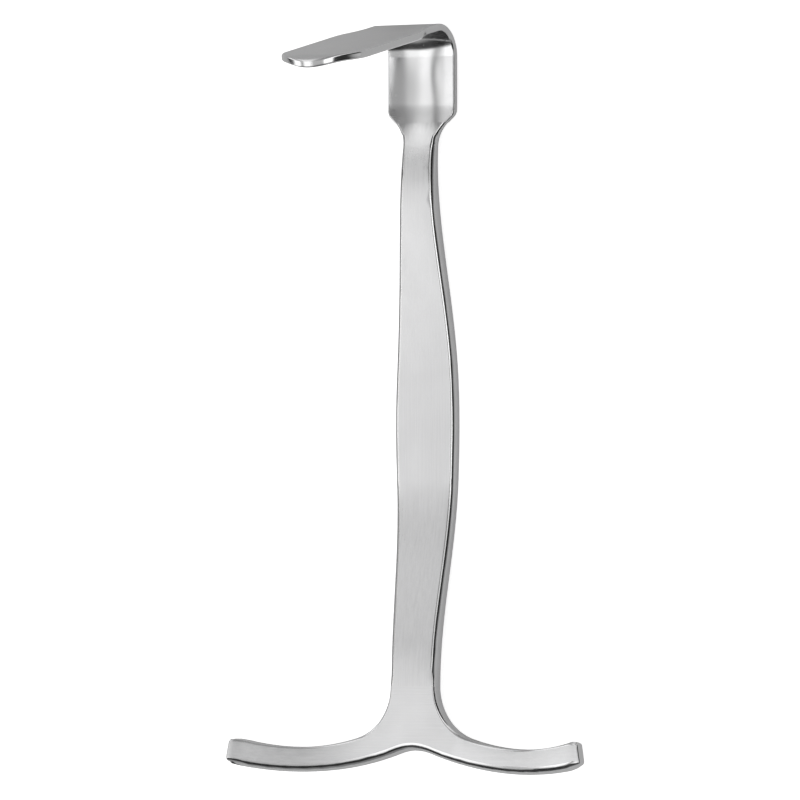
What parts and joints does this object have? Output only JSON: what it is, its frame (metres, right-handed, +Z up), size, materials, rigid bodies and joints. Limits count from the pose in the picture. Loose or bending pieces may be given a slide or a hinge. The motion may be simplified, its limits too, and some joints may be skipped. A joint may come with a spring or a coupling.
{
  "type": "hand-held surgical retractor",
  "caption": "Hand-held stainless steel retractor: flat right-angled blade on a short neck, swelling bowed shank and a crossbar grip with upswept arms.",
  "frame": {"origin": "on the surface that the instrument lies on, under the middle of its length and width", "axes": "+X across the instrument along the crossbar, +Y along the shank towards the blade, +Z up from the surface that its back lies on, the way the blade points"},
  "size_m": [0.1164, 0.2132, 0.0686],
  "materials": {
    "polished_steel": "mirror polished stainless steel with fine hairline scratches",
    "satin_steel": "satin stainless steel with grain along the piece"
  },
  "bodies": {
    "root": {"blade": "polished_steel", "shank": "satin_steel", "crossbar": "satin_steel"}
  },
  "joints": []
}
